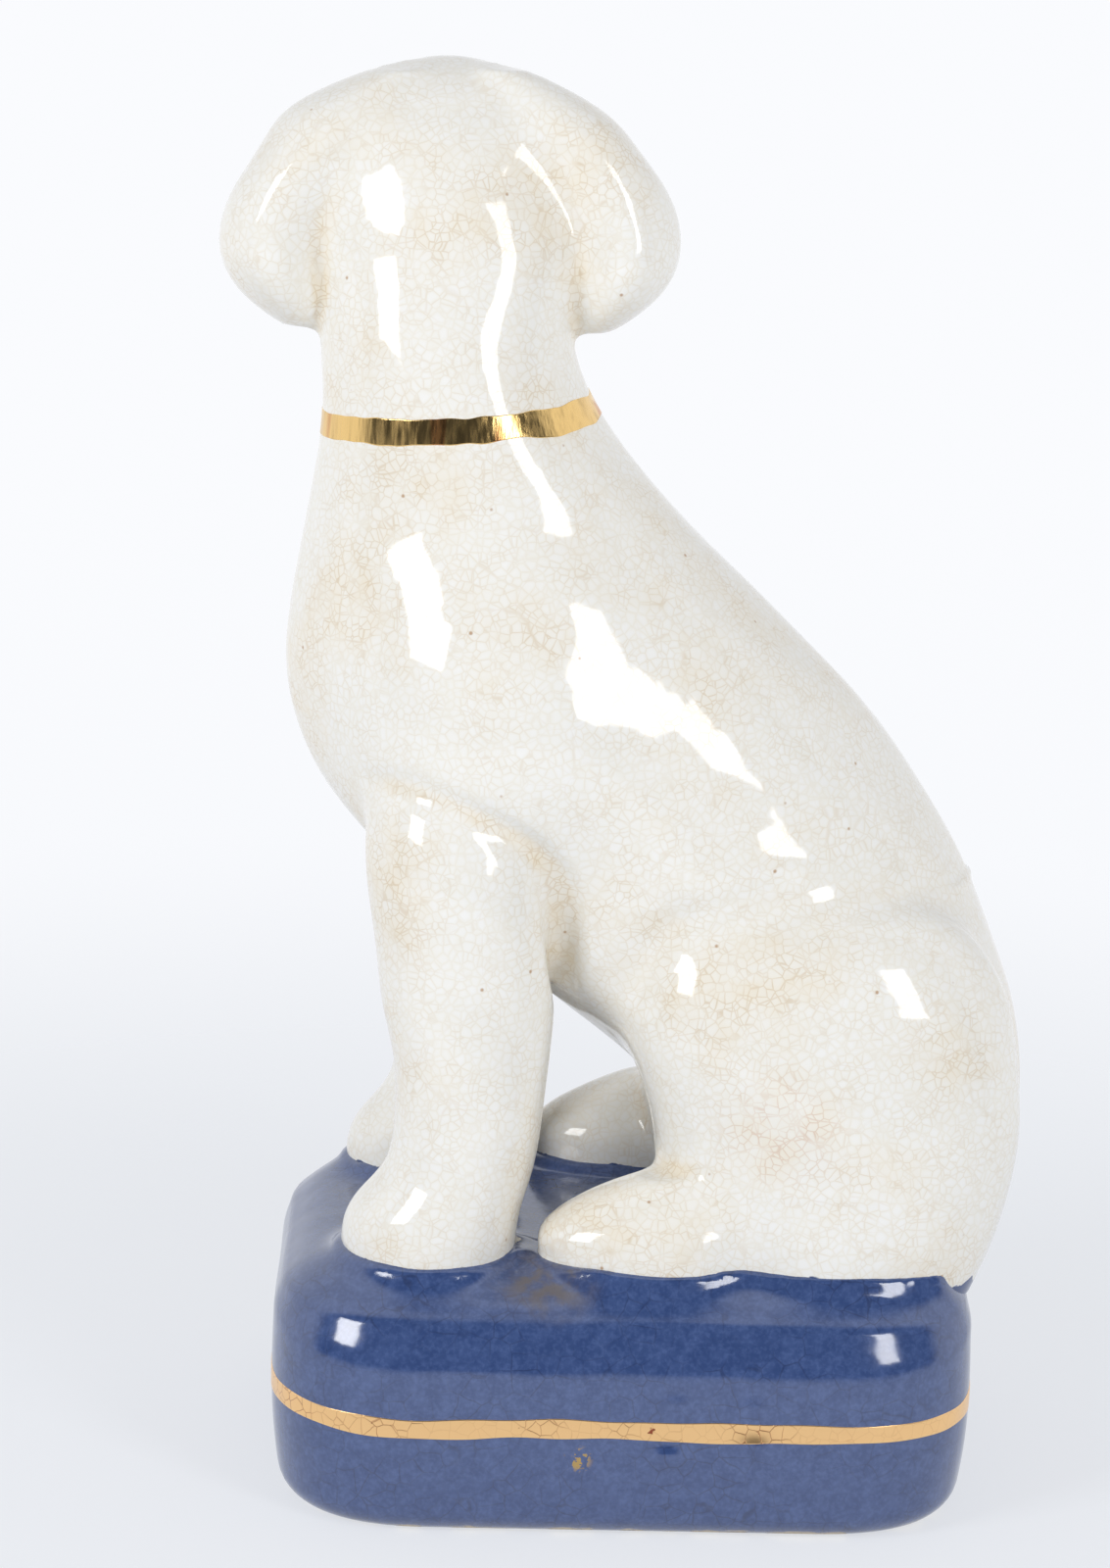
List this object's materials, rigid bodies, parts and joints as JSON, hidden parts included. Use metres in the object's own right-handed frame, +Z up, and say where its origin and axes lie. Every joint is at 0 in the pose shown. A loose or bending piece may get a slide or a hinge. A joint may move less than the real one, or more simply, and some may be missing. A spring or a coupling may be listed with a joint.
{
  "type": "staffordshire dog figure",
  "caption": "Seated glazed pottery dog with its head turned aside, drop ears and a gold collar, on a blue cushion plinth with a gold band; a mantel ornament.",
  "frame": {"origin": "centre of the pour hole in the plinth's underside", "axes": "+Z up; the dog sits along X with its chest towards -X, and its face looks towards +Y"},
  "size_m": [0.1308, 0.0901, 0.2237],
  "materials": {
    "cream_crackle_glaze": "glossy crackle glaze",
    "cobalt_glaze": "glossy",
    "gilding": "fired gold lustre",
    "dark_enamel": "glossy",
    "bare_clay": "unglazed"
  },
  "bodies": {
    "root": {"plinth": "cobalt_glaze", "plinth_floor": "bare_clay", "plinth_gold_band": "gilding", "body": "cream_crackle_glaze", "collar_band": "gilding", "left_haunch": "cream_crackle_glaze", "right_haunch": "cream_crackle_glaze", "left_hind_paw": "cream_crackle_glaze", "right_hind_paw": "cream_crackle_glaze", "left_foreleg": "cream_crackle_glaze", "right_foreleg": "cream_crackle_glaze", "tail": "cream_crackle_glaze", "head": "cream_crackle_glaze", "left_ear": "cream_crackle_glaze", "right_ear": "cream_crackle_glaze", "left_eye": "dark_enamel", "right_eye": "dark_enamel", "nose": "dark_enamel"}
  },
  "joints": []
}
